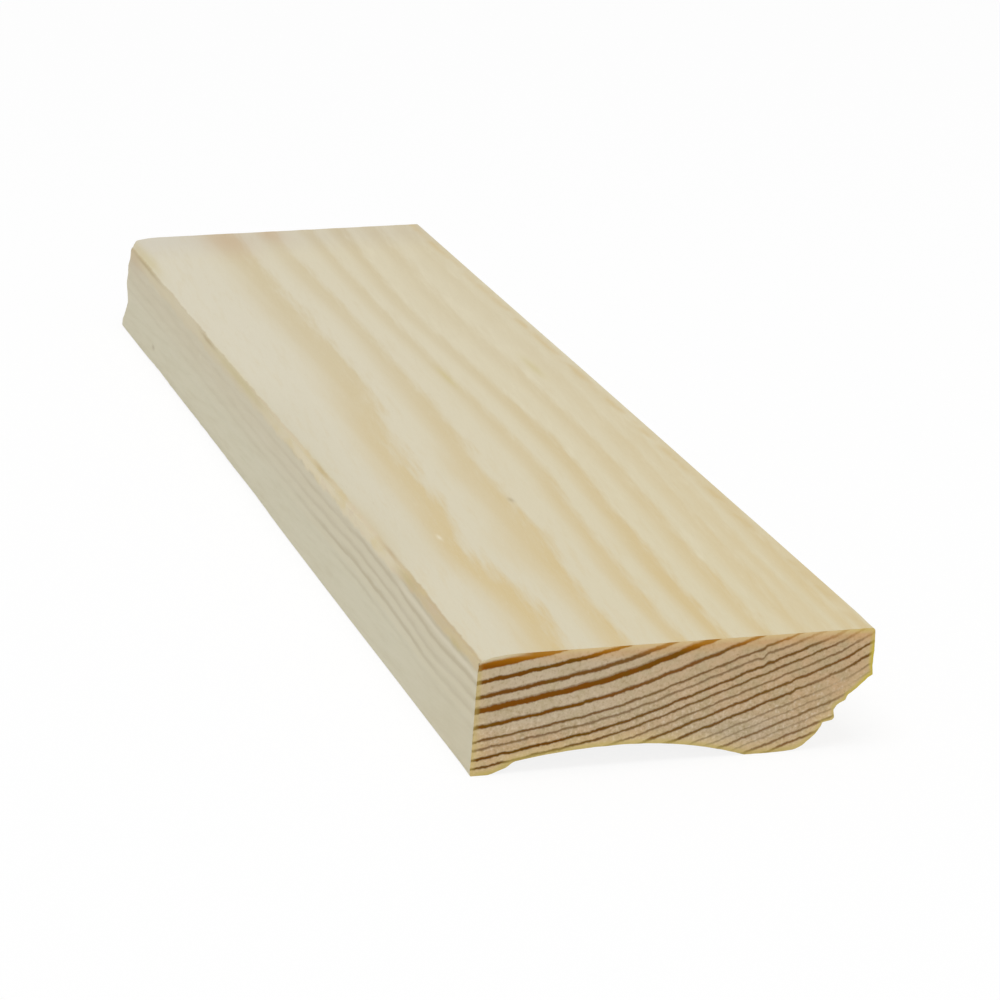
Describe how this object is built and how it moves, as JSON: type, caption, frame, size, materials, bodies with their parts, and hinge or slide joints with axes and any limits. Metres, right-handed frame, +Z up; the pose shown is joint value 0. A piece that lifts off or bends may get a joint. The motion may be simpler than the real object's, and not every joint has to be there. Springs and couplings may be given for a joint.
{
  "type": "skirting board length",
  "caption": "Short cut length of moulded pine skirting board with a flat back, a hollow face between foot and bead, and a sloped nose at its top edge.",
  "frame": {"origin": "on the supporting surface, under the middle of the board, which lies on its moulded face", "axes": "+X across the board from the floor edge to the top edge, +Y along the board, +Z up from the moulded face to the flat back"},
  "size_m": [0.069, 0.3, 0.0205],
  "materials": {
    "planed_pine": "planed, unfinished pine with sawn ends"
  },
  "bodies": {
    "root": {"skirting_length": "planed_pine"}
  },
  "joints": []
}
